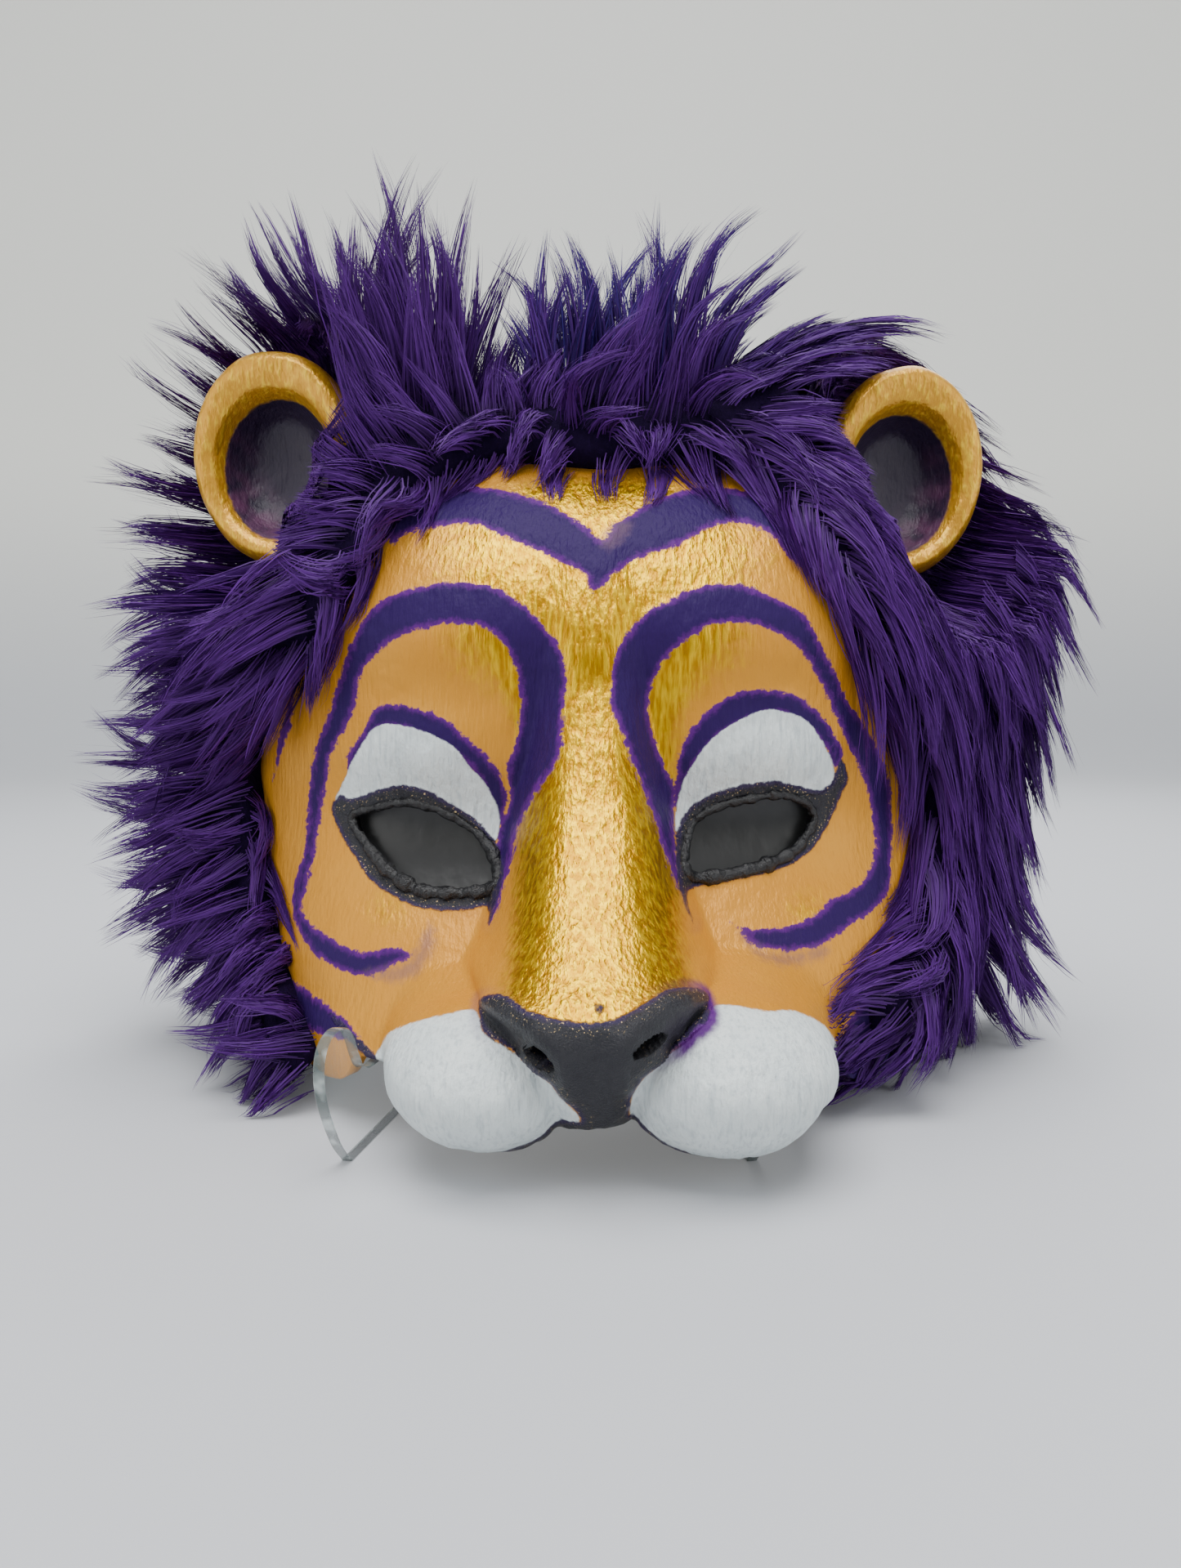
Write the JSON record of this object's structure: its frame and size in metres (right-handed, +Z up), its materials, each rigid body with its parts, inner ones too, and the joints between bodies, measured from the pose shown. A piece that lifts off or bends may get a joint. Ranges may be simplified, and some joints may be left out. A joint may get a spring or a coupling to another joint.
{
  "type": "tiger mask with fur mane on a clear display stand",
  "caption": "Painted big-cat half-mask with cupped ears, dark eye screens and a long fur mane, seated on a clear stand of hooked side plates.",
  "frame": {"origin": "middle of the whole thing's footprint, on the table that the stand's plates stand on", "axes": "+X to the pictured view's right, -Y the way the mask faces, +Z up"},
  "size_m": [0.2698, 0.1462, 0.2262],
  "materials": {
    "painted_shell": "hand-painted papier-mache, satin ochre and metallic gold with dark purple stripes",
    "painted_ear": "metallic gold rim, dark purple inside",
    "purple_fur": "long-pile synthetic fur, dark violet with lighter tips",
    "dark_film": "dark see-through film",
    "clear_plastic": "clear polished sheet"
  },
  "bodies": {
    "root": {"face_shell": "painted_shell", "ear_left": "painted_ear", "ear_right": "painted_ear", "eye_screen_left": "dark_film", "eye_screen_right": "dark_film", "fur_mane": "purple_fur", "stand_side_left": "clear_plastic", "stand_side_right": "clear_plastic", "stand_cross_bar": "clear_plastic"}
  },
  "joints": []
}
